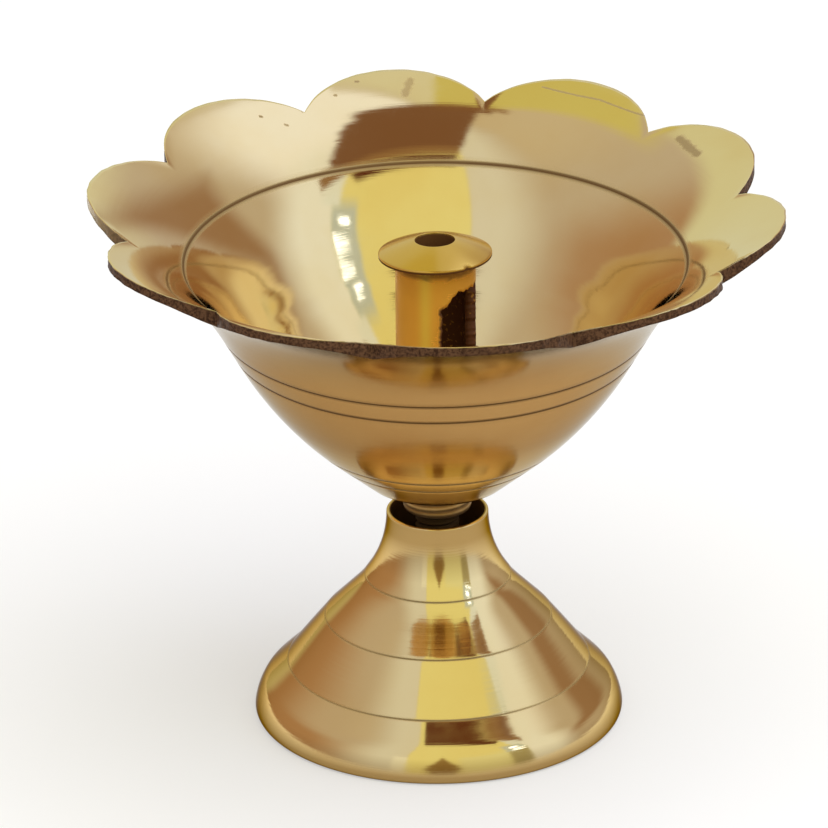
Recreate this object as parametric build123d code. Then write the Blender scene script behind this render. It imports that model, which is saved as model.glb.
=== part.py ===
from build123d import *
import os
from math import asin, cos, degrees, radians, sin, sqrt, tan

# Footed brass butter lamp: a bowl with a petalled rim on a hollow bell foot, and a wick tube in the bowl.
# One threaded stud ties the foot, the bowl and the wick tube together.
# Millimetres and degrees. The origin is the middle of the ring that the foot stands on, and +Z is up.
# Every section is drawn as (radius, height) and turned about Z.

# Foot, a hollow casting
foot_radius = 25.1
foot_edge_height = 1.0
foot_edge_round = 5.4
foot_lean = 41.4
foot_wall = 2.0
neck_radius = 6.95
neck_round = 16.0
neck_land = 0.1
mouth_radius = 6.35
mouth_depth = 10.2
web_thickness = 4.0
foot_line_heights = (7.65, 14.25, 20.3)

# Stud, nuts and washer, on one thread size
stud_radius = 3.0
stud_chamfer = 0.5
stud_below_nut = 2.0
stud_grip = 7.5
thread_play = 0.05
nut_across_flats = 10.0
neck_nut_height = 3.2
foot_nut_height = 5.0
washer_radius = 6.0
washer_thickness = 1.0

# Round collar nut that carries the bowl above the mouth of the foot
collar_gap = 0.3
collar_radius = 4.65
collar_height = 4.45
collar_round = 0.7
collar_line_spacing = 1.0

# Bowl: floor, cone, belly, straight wall and a flared lip cut into petals
floor_radius = 9.5
floor_thickness = 2.0
bowl_wall = 1.2
cone_angle = 40.3
cone_length = 7.4
belly_round = 53.0
wall_angle = 60.8
wall_length = 5.9
flare_round = 31.5
petal_count = 10
tip_radius = 47.6
notch_radius = 41.9
first_notch_angle = 9.0
notch_offsets = (2.0, 0.5, -0.7, -1.9, -2.5, -0.2, 0.8, -2.6, -1.3, 1.1)
lip_trim = 1.5
bowl_line_heights = (4.3, 6.5, 20.5, 23.55)
inner_line_radius = 34.0

# Seal under the wick tube
seal_radius = 5.2
seal_thickness = 1.0

# Wick tube with a side window, and its lift-off cap
tube_radius = 5.45
tube_bore_radius = 4.0
tube_height = 29.5
tube_foot_height = 8.5
window_first_angle = -82.0
window_span = 90.0
window_sill = 1.5
window_height = 16.3
cap_radius = 7.7
cap_edge = 0.5
cap_rise = 2.3
cap_swell = 0.15
spigot_length = 2.6
spigot_play = 0.05
wick_hole_radius = 2.7

# Turned lines are grooves of a round section
line_width = 0.4

# Heights and radii that follow from the sizes above
thread_hole_radius = stud_radius + thread_play
spigot_radius = tube_bore_radius - spigot_play


def on_circle(centre, radius, angle):
    return (centre[0] + radius * cos(radians(angle)), centre[1] + radius * sin(radians(angle)))


def arc(centre, radius, start, end):
    middle = (start + end) / 2
    return ThreePointArc(*[on_circle(centre, radius, angle) for angle in (start, middle, end)])


def turned(edges):
    return revolve(Plane.XZ * make_face(edges), Axis.Z)


def turned_line(radius, height):
    return Pos(0, 0, height) * Torus(radius, line_width / 2)


def ring(outer_radius, inner_radius, bottom, height):
    section = Polyline(
        (inner_radius, bottom),
        (outer_radius, bottom),
        (outer_radius, bottom + height),
        (inner_radius, bottom + height),
        close=True,
    )
    return turned(section)


# Foot: a rounded edge, a straight cone and a hollow curve up to the neck
edge_centre = (foot_radius - foot_edge_round, foot_edge_height)
edge_inner_round = foot_edge_round - foot_wall
cone_foot = on_circle(edge_centre, foot_edge_round, foot_lean)
inner_cone_foot = on_circle(edge_centre, edge_inner_round, foot_lean)
neck_centre_radius = neck_radius + neck_round
neck_start_radius = neck_centre_radius - neck_round * cos(radians(foot_lean))
neck_start_height = cone_foot[1] + (cone_foot[0] - neck_start_radius) / tan(radians(foot_lean))
neck_centre = (neck_centre_radius, neck_start_height + neck_round * sin(radians(foot_lean)))
mouth_height = neck_centre[1] + neck_land
web_top = mouth_height - mouth_depth
web_bottom = web_top - web_thickness


def foot_radius_at(height):
    if height < neck_start_height:
        return cone_foot[0] - (height - cone_foot[1]) * tan(radians(foot_lean))
    return neck_centre[0] - sqrt(neck_round**2 - (neck_centre[1] - height) ** 2)


def make_foot():
    outer_start = -degrees(asin(foot_edge_height / foot_edge_round))
    inner_start = -degrees(asin(foot_edge_height / edge_inner_round))
    inner_top = (inner_cone_foot[0] - (web_bottom - inner_cone_foot[1]) * tan(radians(foot_lean)), web_bottom)
    outer_edge = arc(edge_centre, foot_edge_round, outer_start, foot_lean)
    neck = arc(neck_centre, neck_round, 180 + foot_lean, 180)
    inner_edge = arc(edge_centre, edge_inner_round, foot_lean, inner_start)
    inside = Polyline(
        neck @ 1,
        (neck_radius, mouth_height),
        (mouth_radius, mouth_height),
        (mouth_radius, web_top),
        (thread_hole_radius, web_top),
        (thread_hole_radius, web_bottom),
        inner_top,
        inner_edge @ 0,
    )
    cone = Line(outer_edge @ 1, neck @ 0)
    standing_ring = Line(inner_edge @ 1, outer_edge @ 0)
    body = turned([outer_edge, cone, neck, inside, inner_edge, standing_ring])
    for height in foot_line_heights:
        body -= turned_line(foot_radius_at(height), height)
    return body


# Bowl: the section line is the same for both faces, moved inwards by the wall for the inner one
collar_bottom = mouth_height + collar_gap
bowl_base = collar_bottom + collar_height
floor_top = bowl_base + floor_thickness
cone_end = on_circle((floor_radius, bowl_base), cone_length, cone_angle)
belly_centre = on_circle(cone_end, belly_round, cone_angle + 90)
belly_end = on_circle(belly_centre, belly_round, wall_angle - 90)
wall_end = on_circle(belly_end, wall_length, wall_angle)
flare_centre = on_circle(wall_end, flare_round, wall_angle - 90)
lip_angle = degrees(asin(sin(radians(wall_angle)) - (tip_radius + lip_trim - wall_end[0]) / flare_round))


def bowl_radius_at(height):
    if height < cone_end[1]:
        return cone_end[0] - (cone_end[1] - height) / tan(radians(cone_angle))
    if height < belly_end[1]:
        return belly_centre[0] + sqrt(belly_round**2 - (belly_centre[1] - height) ** 2)
    return belly_end[0] + (height - belly_end[1]) / tan(radians(wall_angle))


def bowl_face(inset):
    belly = arc(belly_centre, belly_round - inset, cone_angle - 90, wall_angle - 90)
    flare = arc(flare_centre, flare_round + inset, wall_angle + 90, lip_angle + 90)
    return belly, Line(belly @ 1, flare @ 0), flare


def petal_prism():
    pitch = 360 / petal_count
    notches = []
    for number in range(petal_count):
        offset = notch_offsets[number % len(notch_offsets)]
        notches.append(first_notch_angle + number * pitch + offset)
    notches.append(notches[0] + 360)
    outline = []
    for start, end in zip(notches, notches[1:]):
        outline.append(ThreePointArc(
            on_circle((0, 0), notch_radius, start),
            on_circle((0, 0), tip_radius, (start + end) / 2),
            on_circle((0, 0), notch_radius, end),
        ))
    lip_top = flare_centre[1] + flare_round + bowl_wall
    return Pos(0, 0, bowl_base) * extrude(make_face(outline), lip_top - bowl_base)


def make_bowl():
    outer = bowl_face(0)
    inner = bowl_face(bowl_wall)
    inner_cone_end = inner[0] @ 0
    inner_floor_radius = inner_cone_end.X - (inner_cone_end.Y - floor_top) / tan(radians(cone_angle))
    floor = Polyline(
        inner[0] @ 0,
        (inner_floor_radius, floor_top),
        (thread_hole_radius, floor_top),
        (thread_hole_radius, bowl_base),
        (floor_radius, bowl_base),
        outer[0] @ 0,
    )
    lip = Line(outer[2] @ 1, inner[2] @ 1)
    body = turned([*outer, lip, *inner, floor]) & petal_prism()
    for rise in bowl_line_heights:
        height = bowl_base + rise
        body -= turned_line(bowl_radius_at(height), height)
    flare_reach = flare_round + bowl_wall
    inner_line_height = flare_centre[1] + sqrt(flare_reach**2 - (inner_line_radius - flare_centre[0]) ** 2)
    return body - turned_line(inner_line_radius, inner_line_height)


# Stud and what is threaded on it
washer_bottom = web_bottom - washer_thickness
foot_nut_bottom = washer_bottom - foot_nut_height
stud_bottom = foot_nut_bottom - stud_below_nut
tube_bottom = floor_top + seal_thickness
stud_top = tube_bottom + stud_grip


def make_stud():
    length = stud_top - stud_bottom
    rod = Pos(0, 0, stud_bottom + length / 2) * Cylinder(stud_radius, length)
    ends = rod.edges().filter_by(GeomType.CIRCLE)
    return chamfer(ends, stud_chamfer)


def make_nut(bottom, height):
    hexagon = RegularPolygon(nut_across_flats / 2, 6, major_radius=False)
    blank = extrude(hexagon, height) - Cylinder(thread_hole_radius, 4 * height)
    return Pos(0, 0, bottom) * blank


def make_collar():
    blank = ring(collar_radius, thread_hole_radius, collar_bottom, collar_height)
    rims = blank.edges().filter_by(GeomType.CIRCLE).group_by(SortBy.RADIUS)[-1]
    body = fillet(rims.sort_by(Axis.Z)[0], collar_round)
    line_count = int((collar_height - collar_round) / collar_line_spacing)
    for number in range(1, line_count):
        body -= turned_line(collar_radius, collar_bottom + collar_round + number * collar_line_spacing)
    return body


# Wick tube and cap
tube_top = tube_bottom + tube_height
chamber_floor = tube_bottom + tube_foot_height


def make_tube():
    section = Polyline(
        (thread_hole_radius, tube_bottom),
        (tube_radius, tube_bottom),
        (tube_radius, tube_top),
        (tube_bore_radius, tube_top),
        (tube_bore_radius, chamber_floor),
        (thread_hole_radius, chamber_floor),
        close=True,
    )
    window_bottom = chamber_floor + window_sill
    opening = Polyline(
        (tube_bore_radius / 2, window_bottom),
        (2 * tube_radius, window_bottom),
        (2 * tube_radius, window_bottom + window_height),
        (tube_bore_radius / 2, window_bottom + window_height),
        close=True,
    )
    window = revolve(Plane.XZ * make_face(opening), Axis.Z, window_span)
    return turned(section) - Rot(0, 0, window_first_angle) * window


def make_cap():
    edge_top = (cap_radius, tube_top + cap_edge)
    hole_top = (wick_hole_radius, tube_top + cap_rise)
    swell = ((edge_top[0] + hole_top[0]) / 2, (edge_top[1] + hole_top[1]) / 2 + cap_swell)
    crown = ThreePointArc(hole_top, swell, edge_top)
    rest = Polyline(
        edge_top,
        (cap_radius, tube_top),
        (spigot_radius, tube_top),
        (spigot_radius, tube_top - spigot_length),
        (wick_hole_radius, tube_top - spigot_length),
        hole_top,
    )
    return turned([crown, rest])


pieces = {
    "foot": make_foot(),
    "bowl": make_bowl(),
    "bowl_collar": make_collar(),
    "tie_stud": make_stud(),
    "neck_nut": make_nut(web_top, neck_nut_height),
    "foot_washer": ring(washer_radius, thread_hole_radius, washer_bottom, washer_thickness),
    "foot_nut": make_nut(foot_nut_bottom, foot_nut_height),
    "seal_washer": ring(seal_radius, thread_hole_radius, floor_top, seal_thickness),
    "wick_tube": make_tube(),
    "wick_cap": make_cap(),
}

os.makedirs("parts", exist_ok=True)
for name, piece in pieces.items():
    piece.label = name
    export_step(piece, f"parts/{name}.step")

print(f"mouth {mouth_height:.2f}, web {web_bottom:.2f} to {web_top:.2f}, bowl base {bowl_base:.2f}")
print(f"stud {stud_bottom:.2f} to {stud_top:.2f}, tube {tube_bottom:.2f} to {tube_top:.2f}, lip angle {lip_angle:.1f}")
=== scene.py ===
import bmesh
import bpy
import numpy as np
from mathutils import Matrix, Vector


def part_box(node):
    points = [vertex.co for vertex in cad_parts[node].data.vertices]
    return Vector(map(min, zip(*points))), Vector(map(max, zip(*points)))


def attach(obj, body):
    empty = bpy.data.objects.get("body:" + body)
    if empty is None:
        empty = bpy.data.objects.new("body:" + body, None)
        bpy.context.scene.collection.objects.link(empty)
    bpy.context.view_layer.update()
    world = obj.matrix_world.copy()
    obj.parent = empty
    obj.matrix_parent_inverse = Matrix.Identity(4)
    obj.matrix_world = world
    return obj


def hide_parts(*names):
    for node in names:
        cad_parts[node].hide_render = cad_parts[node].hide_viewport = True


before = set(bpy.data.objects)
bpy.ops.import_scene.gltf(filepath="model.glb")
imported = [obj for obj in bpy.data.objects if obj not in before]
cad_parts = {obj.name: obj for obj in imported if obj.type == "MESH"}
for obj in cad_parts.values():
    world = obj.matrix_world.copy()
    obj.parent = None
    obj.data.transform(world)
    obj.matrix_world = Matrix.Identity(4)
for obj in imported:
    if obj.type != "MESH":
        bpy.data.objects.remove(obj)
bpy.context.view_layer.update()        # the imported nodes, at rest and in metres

mm = 0.001               # sections below are in millimetres, meshes in metres


# Section lines, as arrays of (radius, height)

def polar(centre, radius, angle):
    turn = np.radians(angle)
    return np.stack([centre[0] + radius * np.cos(turn), centre[1] + radius * np.sin(turn)], -1)


def arcRun(centre, radius, start, end, count=80):
    return polar(centre, radius, np.linspace(start, end, count))


def pathLength(points):
    return np.concatenate([[0], np.cumsum(np.hypot(*np.diff(points, axis=0).T))])


def leftNormals(points):
    # unit vectors square to the line, on its left as it runs
    slope = np.gradient(points, axis=0)
    slope /= np.hypot(*slope.T)[:, None]
    return np.stack([-slope[:, 1], slope[:, 0]], -1)


def evenRun(points, step):
    # the same line at even steps: each coordinate interpolated over the length run so far
    run = pathLength(points)
    keep = np.concatenate([[True], np.diff(run) > 1e-9])
    run, points = run[keep], points[keep]
    at = np.linspace(0, run[-1], int(run[-1] / step) + 1)
    return np.stack([np.interp(at, run, points[:, i]) for i in (0, 1)], -1)


def softCorners(points, reach, step):
    # corners rounded by a bell-shaped average along the line, with both ends held
    half = int(4 * reach / step)
    bell = np.exp(-0.5 * (np.arange(-half, half + 1) * step / reach) ** 2)
    before = 2 * points[0] - points[half:0:-1]
    after = 2 * points[-1] - points[-2:-half - 2:-1]
    padded = np.concatenate([before, points, after])
    return np.stack([np.convolve(padded[:, i], bell / bell.sum(), "valid") for i in (0, 1)], -1)


def cutLines(points, lines, width, depth):
    # turned lines: the section sinks along its normal by a bell of the distance to each line
    cut = np.zeros(len(points))
    for line in lines:
        away = np.hypot(*(points - np.array(line)).T)
        cut = np.maximum(cut, np.exp(-((2 * away / width) ** 2)))
    return points + leftNormals(points) * (cut * depth)[:, None], cut


def pickRows(points, extra, count, bendWeight=1.2, lineWeight=0.9):
    # count rows out of a fine section, closer together where it bends and across its lines
    slope = np.gradient(points, axis=0)
    bend = np.abs(np.gradient(np.unwrap(np.arctan2(slope[:, 1], slope[:, 0]))))
    step = np.hypot(*slope.T) + bendWeight * bend + lineWeight * np.abs(np.gradient(extra))
    weight = np.concatenate([[0], np.cumsum(step[1:])])
    at = np.linspace(0, weight[-1], count)
    return [np.interp(at, weight, values) for values in (points[:, 0], points[:, 1], extra)]


def turnedSection(points, count, cornerRound=0.12, lines=(), lineWidth=0.4, lineDepth=0.16, step=0.03):
    fine = softCorners(evenRun(np.array(points, float), step), cornerRound, step)
    fine, cut = cutLines(fine, lines, lineWidth, lineDepth)
    return pickRows(fine, cut, count)


def waver(angle, seed, waves, size):
    # an even, repeatable unevenness: sines of whole numbers of waves with drawn phases
    draw = np.random.default_rng(seed)
    phases = draw.uniform(0, 2 * np.pi, len(waves))
    heights = draw.uniform(0.5, 1, len(waves))
    waveSum = sum(h * np.sin(w * angle + p) for h, w, p in zip(heights, waves, phases))
    return size * waveSum / len(waves) ** 0.5


# Meshes from grids of points

def fullTurn(columns):
    return np.linspace(0, 2 * np.pi, columns, endpoint=False)


def plan(radius, angle):
    return radius * np.cos(angle), radius * np.sin(angle)


def spread(values, columns):
    # a value for each row, repeated over the columns
    return np.repeat(values[:, None], columns, 1)


def gridMesh(name, x, y, z, marks=None, ringRows=True, capped=False):
    # rows run along the section and columns round the axis; both close unless ringRows is off
    rows, columns = x.shape
    corner = np.arange(rows * columns).reshape(rows, columns)
    below = corner if ringRows else corner[:-1]
    above = np.roll(corner, -1, 0) if ringRows else corner[1:]
    quads = np.stack([below, np.roll(below, -1, 1), np.roll(above, -1, 1), above], -1).reshape(-1, 4)
    return meshFrom(name, np.stack([x, y, z], -1).reshape(-1, 3), quads, marks, capped)


def meshFrom(name, points, quads, marks=None, capped=False):
    # quads turn so that the volume inside them is positive, which points every face outwards
    a, b, c, d = (points[quads[:, i]] for i in range(4))
    volume = np.einsum("ij,ij->i", a, np.cross(b, c)) + np.einsum("ij,ij->i", a, np.cross(c, d))
    quads = quads if volume.sum() > 0 else quads[:, ::-1]
    mesh = bpy.data.meshes.new(name)
    mesh.vertices.add(len(points))
    mesh.vertices.foreach_set("co", (points * mm).astype(np.float32).ravel())
    mesh.loops.add(quads.size)
    mesh.loops.foreach_set("vertex_index", np.ascontiguousarray(quads, np.int32).ravel())
    mesh.polygons.add(len(quads))
    mesh.polygons.foreach_set("loop_start", np.arange(0, quads.size, 4, dtype=np.int32))
    mesh.update(calc_edges=True)
    for label, values in (marks or {}).items():
        layer = mesh.attributes.new(label, "FLOAT", "POINT")
        layer.data.foreach_set("value", values.astype(np.float32).ravel())
    if capped:                       # rows that end on the axis become one point
        work = bmesh.new()
        work.from_mesh(mesh)
        bmesh.ops.remove_doubles(work, verts=work.verts, dist=1e-7)
        work.to_mesh(mesh)
        work.free()
    mesh.validate()
    mesh.polygons.foreach_set("use_smooth", np.ones(len(mesh.polygons), bool))
    piece = bpy.data.objects.new(name, mesh)
    bpy.context.scene.collection.objects.link(piece)
    return piece


def turnedMesh(name, section, columns, marks=None):
    # a section carried round the axis
    radius, height, cut = section
    angle = fullTurn(columns)
    x, y = plan(radius[:, None], angle)
    allMarks = {"tarnish": spread(cut, columns), **(marks or {})}
    return gridMesh(name, x, y, spread(height, columns), allMarks)


def dress(piece, node, body, material):
    piece.data.materials.append(material)
    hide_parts(node)
    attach(piece, body)
    print("piece:", piece.name, len(piece.data.polygons), "faces")


# Shader maths written as expressions

class Shade:
    # one output socket of a node tree; numbers, sockets and operators mix freely
    def __init__(self, tree, socket=None):
        self.tree = tree
        self.socket = socket

    def node(self, kind, settings=None, inputs=None, out=0):
        made = self.tree.nodes.new("ShaderNode" + kind)
        for key, value in (settings or {}).items():
            setattr(made, key, value)
        self.feed(made, inputs or {})
        return Shade(self.tree, made.outputs[out])

    def feed(self, shader, values):
        for key, value in values.items():
            if isinstance(value, Shade):
                self.tree.links.new(value.socket, shader.inputs[key])
            else:
                shader.inputs[key].default_value = value

    def math(self, operation, *values):
        return self.node("Math", {"operation": operation}, dict(enumerate((self, *values))))

    def __add__(self, other):
        return self.math("ADD", other)

    def __sub__(self, other):
        return self.math("SUBTRACT", other)

    def __rsub__(self, other):
        return (self * -1) + other

    def __mul__(self, other):
        return self.math("MULTIPLY", other)

    def __truediv__(self, other):
        return self.math("DIVIDE", other)

    __radd__ = __add__
    __rmul__ = __mul__

    def axes(self):
        # the three parts of a vector
        split = self.node("SeparateXYZ", inputs={0: self}).socket.node
        return [Shade(self.tree, split.outputs[i]) for i in range(3)]

    def attribute(self, name):
        # a mark stored on the mesh, 0 where the piece has none of that name
        return self.node("Attribute", {"attribute_name": name}, out="Fac")

    def fade(self, low, high):
        # 0 at low and 1 at high, with a smooth rise; low may be the larger
        settings = {"interpolation_type": "SMOOTHSTEP"}
        return self.node("MapRange", settings, {"Value": self, "From Min": low, "From Max": high})

    def band(self, low, high, softLow, softHigh):
        # 1 between low and high, with soft edges that reach that far to both sides of each
        return self.fade(low - softLow, low + softLow) * self.fade(high + softHigh, high - softHigh)

    def mix(self, first, second):
        # first where this is 0 and second where it is 1, as colours
        colours = [c if isinstance(c, Shade) else (*c, 1) for c in (first, second)]
        settings = {"data_type": "RGBA"}
        return self.node("Mix", settings, {0: self, 6: colours[0], 7: colours[1]}, 2)

    def noise(self, scale, detail=2.0, roughness=0.5, dimensions="3D"):
        inputs = {"W" if dimensions == "1D" else "Vector": self, "Scale": scale, "Detail": detail,
                  "Roughness": roughness}
        return self.node("TexNoise", {"noise_dimensions": dimensions}, inputs, "Fac")


def newMaterial(name):
    material = bpy.data.materials.new(name)
    material.use_nodes = True
    tree = material.node_tree
    return material, Shade(tree), tree.nodes["Principled BSDF"]


# Brass: turned and polished, with ring marks, slow changes of tone, casting pits and tarnish in its lines;
# its marks also carry painted shade, painted highlights and a painted reflection tint

def stroke(x, y, grain, first, last, reachMm, strength):
    # a mark along a line on the plan: full near it, gone at its reach, with an uneven edge
    (x0, y0), (x1, y1) = first, last
    dx, dy = (x1 - x0) * mm, (y1 - y0) * mm
    share = ((x - x0 * mm) * dx + (y - y0 * mm) * dy) / (dx * dx + dy * dy)
    share = share.math("MAXIMUM", 0.0).math("MINIMUM", 1.0)
    offX = x - x0 * mm - share * dx
    offY = y - y0 * mm - share * dy
    reach = reachMm * mm
    away = (offX * offX + offY * offY).math("SQRT") + (grain - 0.5) * reach
    return away.fade(reach, reach * 0.3) * strength


def brass(name, look):
    material, start, shader = newMaterial(name)
    place = start.node("TexCoord", out="Object")
    x, y, height = place.axes()
    radius = (x * x + y * y).math("SQRT")
    along = height + radius * 0.77                       # changes steadily along any turned section
    tarnish, shaded, flankReflection, raw = (start.attribute(n) for n in ("tarnish", "shaded", "flankReflection", "raw"))
    fineRings = along.noise(look["ringScale"], 3, 0.6, "1D")
    broadRings = along.noise(look["ringScale"] * look["broadShare"], 2, 0.5, "1D")
    clouds = place.noise(look["cloudScale"], 4, 0.55)
    handled = place.noise(look["cloudScale"] * look["handledShare"], 5, 0.6)
    pitCells = {"Vector": place, "Scale": look["pitScale"]}
    pitNear = start.node("TexVoronoi", inputs=pitCells, out="Distance")
    pitDraw = start.node("TexVoronoi", inputs=pitCells, out="Color")
    pitChosen = pitDraw.fade(look["pitShare"], look["pitShare"] + 0.02)
    pits = pitNear.fade(look["pitSize"], look["pitSize"] * 0.4) * pitChosen
    flecks = place.noise(look["fleckScale"], 2, 0.5).fade(*look["fleckFade"]) * look["flecks"]
    # the tarnish mark holds real tarnish and painted shade alike, and both darken the metal here
    dirtAndShade = tarnish * (1 - flecks) + pits * 0.8
    grain = place.noise(look["grainScale"], 3, 0.6)
    for mark in look["marks"]:
        dirtAndShade = dirtAndShade.math("MAXIMUM", stroke(x, y, grain, *mark))
    dirtAndShade = dirtAndShade.math("MINIMUM", 1.0)
    metal = clouds.fade(*look["cloudFade"]).mix(look["pale"], look["warm"])
    # painted light: one mark mixes in a painted shade or painted highlight colour, the other a painted
    # reflection tint on the foot's left flank
    metal = flankReflection.mix(shaded.mix(metal, look["shaded"]), look["flank"])
    sawn = place.noise(look["sawScale"], 4, 0.7).fade(*look["sawFade"]).mix(look["rawDark"], look["rawPale"])
    colour = raw.mix(dirtAndShade.mix(metal, look["tarnish"]), sawn)
    rough = look["rough"] + handled.fade(*look["handledFade"]) * look["roughMore"] + fineRings * 0.03
    rough = rough + dirtAndShade * look["dirtAndShadeRough"] + shaded * look["shadedRough"]
    relief = fineRings * 0.35 + broadRings * 0.65 - pits * 2.0
    bumps = {"Strength": look["ringDepth"], "Distance": look["ringHeight"], "Height": relief}
    bump = start.node("Bump", inputs=bumps)
    start.feed(shader, {
        "Base Color": colour,
        "Roughness": rough,
        "Metallic": (1 - dirtAndShade * look["dirtAndShadeDull"]) * look["metal"],
        "Normal": bump,
        "Specular IOR Level": look["sheen"],
        "Specular Tint": (*look["edgeTint"], 1),
        "Anisotropic": look["lathe"],
        "Anisotropic Rotation": 0.25,            # the turning marks run round, so gloss spreads up and down
    })
    return material


bowlLook = {
    "pale": (0.89, 0.70, 0.36),
    "warm": (0.86, 0.64, 0.29),
    # the colour mixed in where shade or a highlight is painted
    "shaded": (0.55, 0.32, 0.115),
    "flank": (0.80, 0.46, 0.15),
    "tarnish": (0.060, 0.030, 0.014),
    "rawPale": (0.125, 0.062, 0.032),
    "rawDark": (0.036, 0.016, 0.009),
    "metal": 1.0,
    "sheen": 0.02,
    "flecks": 0.0,
    "marks": (),
    "shadedRough": 0.0,
    "edgeTint": (1.0, 1.0, 1.0),
    "lathe": 0.35,
    "rough": 0.035,
    "roughMore": 0.04,
    "ringScale": 5200.0,
    "ringDepth": 0.1,
    "ringHeight": 0.00006,
    "fleckScale": 1700.0,
    "grainScale": 1400.0,
    "broadShare": 0.12,
    "handledShare": 5.0,
    "fleckFade": (0.60, 0.70),
    "cloudFade": (0.35, 0.68),
    "sawFade": (0.35, 0.62),
    "handledFade": (0.45, 0.80),
    "dirtAndShadeRough": 0.35,
    "dirtAndShadeDull": 0.92,
    "cloudScale": 45.0,
    "pitScale": 260.0,
    "pitSize": 0.09,
    "pitShare": 0.93,
    "sawScale": 2600.0,
}
# small flaws of the lip, on the plan: casting pits, stains, a long scratch and a smear,
# each from one point to another, with its reach and its strength
lipMarks = (
    ((-23.8, 35.5), (-23.6, 35.5), 0.32, 0.75),
    ((-20.4, 35.2), (-20.1, 35.2), 0.28, 0.65),
    ((-13.6, 41.6), (-13.4, 41.6), 0.30, 0.6),
    ((-10.7, 44.4), (-10.4, 44.4), 0.34, 0.7),
    ((-3.2, 45.0), (-3.9, 42.8), 0.85, 0.5),
    ((15.0, 42.5), (22.8, 38.3), 0.22, 0.55),
    ((22.8, 38.3), (29.6, 32.5), 0.22, 0.55),
    ((33.5, 26.5), (35.8, 22.0), 0.9, 0.65),
)
bowlInnerLook = {**bowlLook, "tarnish": (0.11, 0.055, 0.020), "marks": lipMarks}
# the bowl's outside is a darker copy of the same brass, painted shade; its pale mixed-in colour is the
# painted highlight near the bottom
bowlOuterShadeLook = {
    **bowlLook,
    "pale": (0.47, 0.268, 0.090),
    "warm": (0.44, 0.235, 0.074),
    "shaded": (0.96, 0.66, 0.25),
    "tarnish": (0.08, 0.038, 0.014),
    "edgeTint": (0.70, 0.72, 0.68),
    "lathe": 0.7,
    "rough": 0.10,
    "ringDepth": 0.25,
}
footLook = {
    **bowlLook,
    "pale": (0.88, 0.68, 0.33),
    "warm": (0.85, 0.63, 0.28),
    # painted shade, for faces that look level or down
    "shaded": (0.42, 0.270, 0.098),
    "shadedRough": 0.10,
    "flank": (0.86, 0.56, 0.21),
    "tarnish": (0.08, 0.038, 0.014),
    "edgeTint": (0.33, 0.26, 0.20),
    "lathe": 0.5,
    "rough": 0.065,
    "ringDepth": 0.3,
}
tubeLook = {
    **bowlLook,
    "pale": (0.98, 0.51, 0.075),
    "warm": (0.94, 0.46, 0.062),
    # painted highlight, for the bright streak up the front
    "shaded": (1.0, 0.68, 0.10),
    "tarnish": (0.12, 0.045, 0.020),
    "metal": 0.25,
    "sheen": 0.25,
    "flecks": 0.30,
    "lathe": 0.8,
    "rough": 0.24,
}
capLook = {
    **bowlLook,
    "pale": (0.78, 0.50, 0.115),
    "warm": (0.75, 0.46, 0.095),
    "tarnish": (0.11, 0.040, 0.016),
    "lathe": 0.6,
    "rough": 0.20,
}
threadLook = {
    **bowlLook,
    "pale": (0.62, 0.40, 0.15),
    "warm": (0.46, 0.27, 0.09),
    "rough": 0.20,
    "roughMore": 0.16,
    "cloudScale": 160.0,
}
bowlBrass = brass("bowl_brass", bowlInnerLook)
bowlOuterShadeBrass = brass("bowl_outer_brass_shade", bowlOuterShadeLook)
footBrass = brass("foot_brass", footLook)
tubeBrass = brass("wick_tube_brass", tubeLook)
capBrass = brass("wick_cap_brass", capLook)
threadBrass = brass("thread_brass", threadLook)


def fibre(name, look):
    material, start, shader = newMaterial(name)
    place = start.node("TexCoord", out="Object")
    strands = place.noise(look["strandScale"], 6, 0.7)
    soak = place.noise(look["soakScale"], 3, 0.5)
    colour = soak.fade(0.3, 0.7).mix(strands.mix(look["dry"], look["strand"]), look["soaked"])
    bumps = {"Strength": look["strandDepth"], "Distance": look["strandHeight"], "Height": strands}
    bump = start.node("Bump", inputs=bumps)
    start.feed(shader, {"Base Color": colour, "Roughness": 0.75 - soak * 0.3, "Normal": bump})
    return material


sealLook = {
    "dry": (0.36, 0.20, 0.11),
    "strand": (0.22, 0.11, 0.06),
    "soaked": (0.12, 0.055, 0.03),
    "strandScale": 2600.0,
    "strandDepth": 0.6,
    "strandHeight": 0.00008,
    "soakScale": 240.0,
}
sealFibre = fibre("seal_fibre", sealLook)


# Foot: a cone with a rounded edge and a hollow neck, and three turned lines round it

footShape = {
    "radius": 25.1,
    "edgeHeight": 1.0,
    "edgeRound": 5.4,
    "lean": 41.4,
    "edgeLow": 8.0,
    "standRound": 0.9,
    "wall": 2.0,
    "neckRadius": 6.95,
    "neckRound": 16.0,
    "mouthRadius": 6.35,
    "mouthDepth": 10.2,
    "web": 4.0,
    "holeRadius": 3.05,
    "lineHeights": (7.65, 14.25, 20.3),
    "bandHeights": (4.4, 7.6, 7.7, 14.2, 14.3, 17.6, 20.3),
    "bandTilts": (4.9, 5.0, -3.2, -2.0, 4.2, 3.4, -4.2),
    "shadeFrom": 27.0,
    "shadeTo": 8.0,
    "lineDark": 0.85,
    "lineFull": 1.3,
    "lineSideSheen": 0.9,
    "lineCut": (0.26, 0.015),
    "insideDark": 0.9,
    "flankShare": 0.6,
    "flankSteep": 1.5,
    "flankCosine": -0.66,
    "cornerRound": 0.14,
    "standShade": 0.35,
    "rows": 400,
    "columns": 240,
}


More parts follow.
